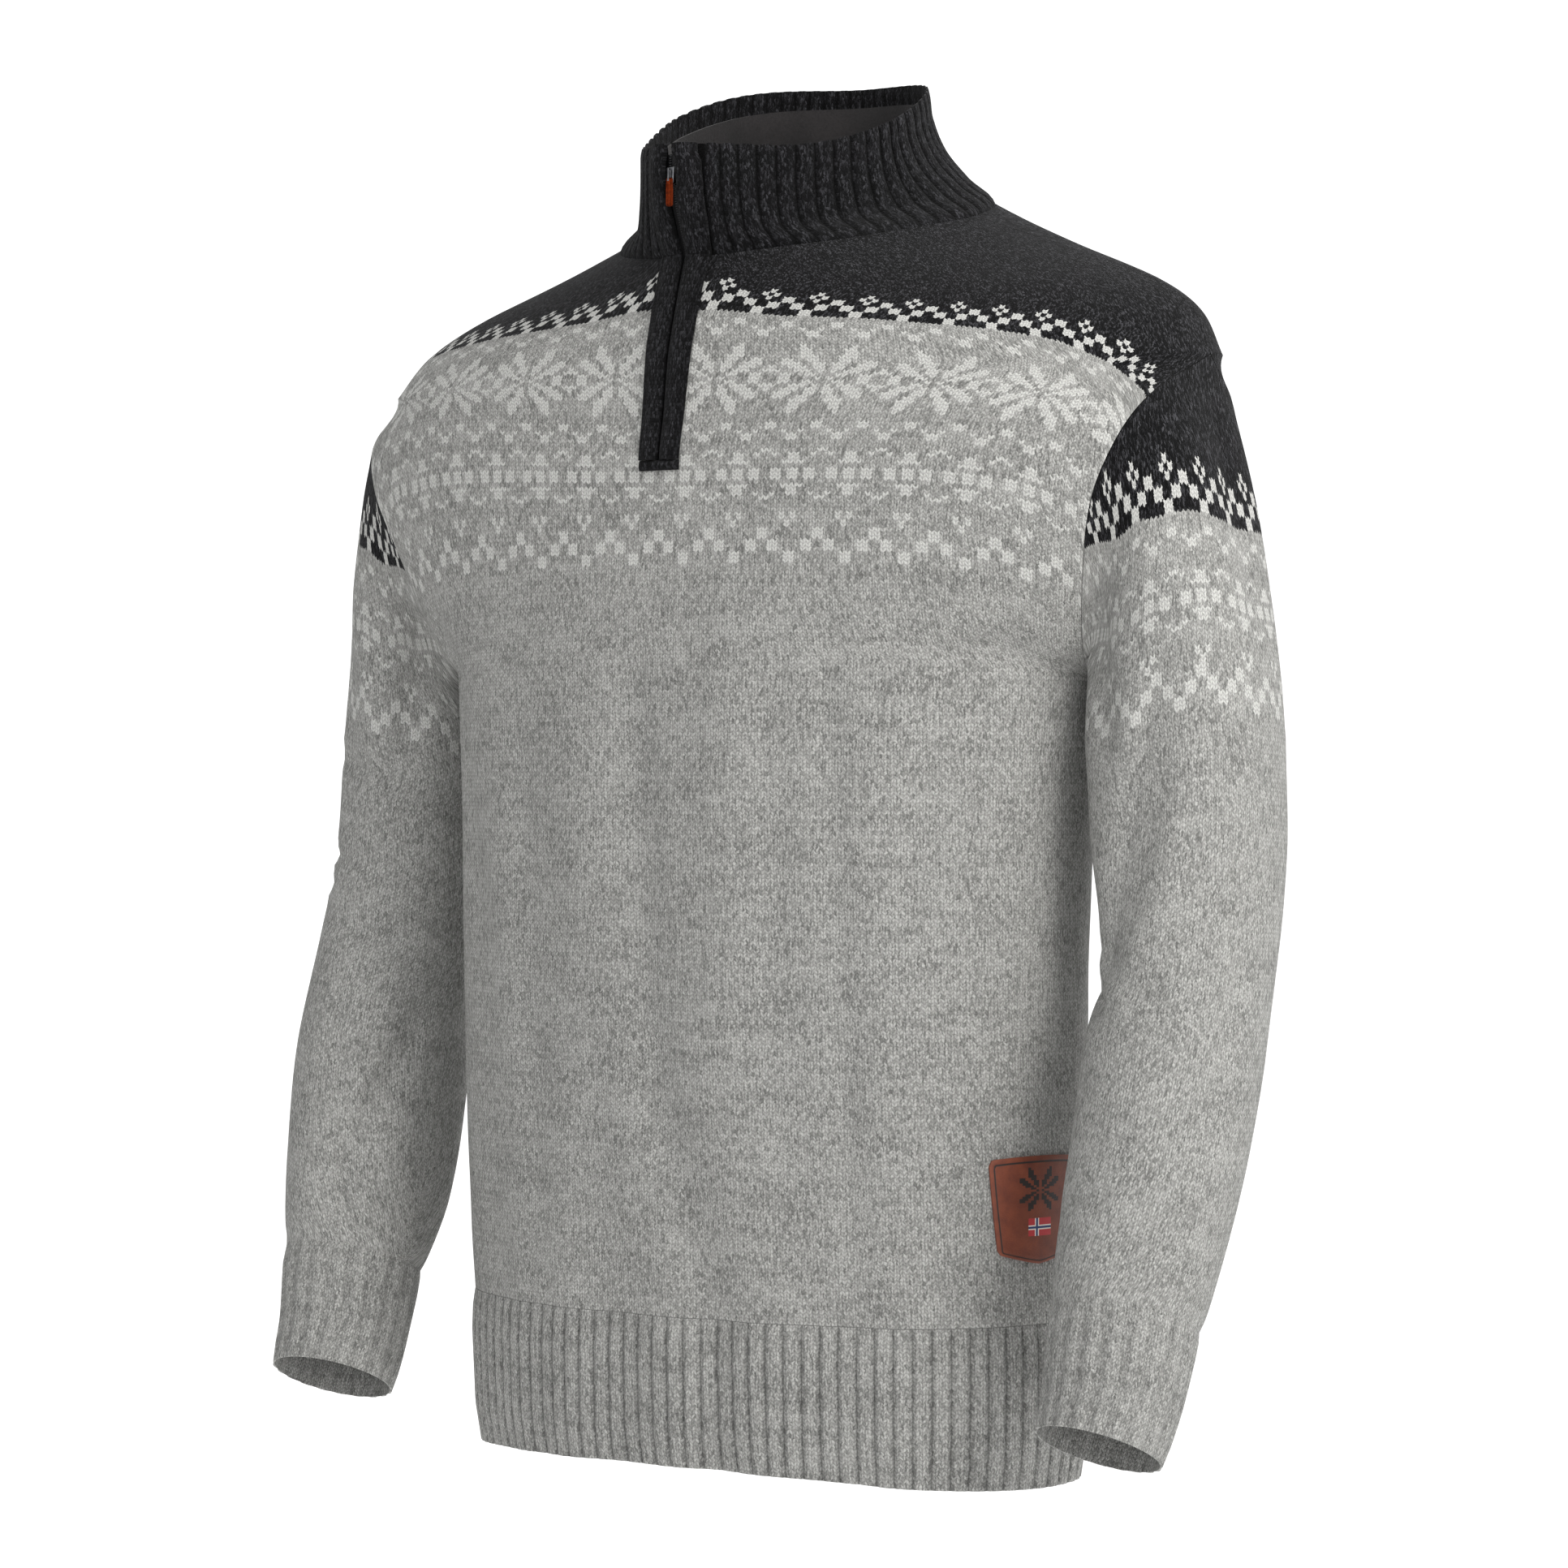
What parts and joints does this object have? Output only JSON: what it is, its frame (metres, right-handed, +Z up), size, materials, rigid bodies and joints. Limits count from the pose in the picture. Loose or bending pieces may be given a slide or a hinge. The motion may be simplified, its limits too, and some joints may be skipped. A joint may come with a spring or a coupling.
{
  "type": "nordic yoke sweater",
  "caption": "Half-zip knitted jumper filled out as worn: ribbed stand collar, dropped shoulders, patterned yoke, ribbed cuffs and hem, leather patch.",
  "frame": {"origin": "the middle of the shoulder line, where the wearer's shoulders carry the garment", "axes": "+Z up along the body, the front faces -Y, the wearer's left side is +X"},
  "size_m": [0.6192, 0.251, 0.7864],
  "materials": {
    "marl_knit": "light grey marl wool knit",
    "charcoal_knit": "charcoal marl wool rib",
    "collar_fleece": "short brushed fleece",
    "patch_leather": "matt brown leather",
    "zip_metal": "satin",
    "zip_tape": "woven tape",
    "pull_tab": "matt rust leather"
  },
  "bodies": {
    "sweater": {"front": "marl_knit", "back": "marl_knit", "hem_rib_front": "marl_knit", "hem_rib_back": "marl_knit", "sleeve_left": "marl_knit", "sleeve_right": "marl_knit", "cuff_left": "marl_knit", "cuff_right": "marl_knit", "collar": "charcoal_knit", "collar_lining": "collar_fleece", "placket_left": "charcoal_knit", "placket_right": "charcoal_knit", "placket_foot": "charcoal_knit", "zip_tape": "zip_tape", "zip_slider": "zip_metal", "patch": "patch_leather"},
    "zip_pull": {"zip_pull": "pull_tab"}
  },
  "joints": [
    {"name": "pull_tab_hinge", "type": "hinge", "parent": "sweater", "child": "zip_pull", "pos_m": [0, -0.1146, 0.00005], "axis": [-1, 0, 0], "range_deg": [0, 120]}
  ]
}
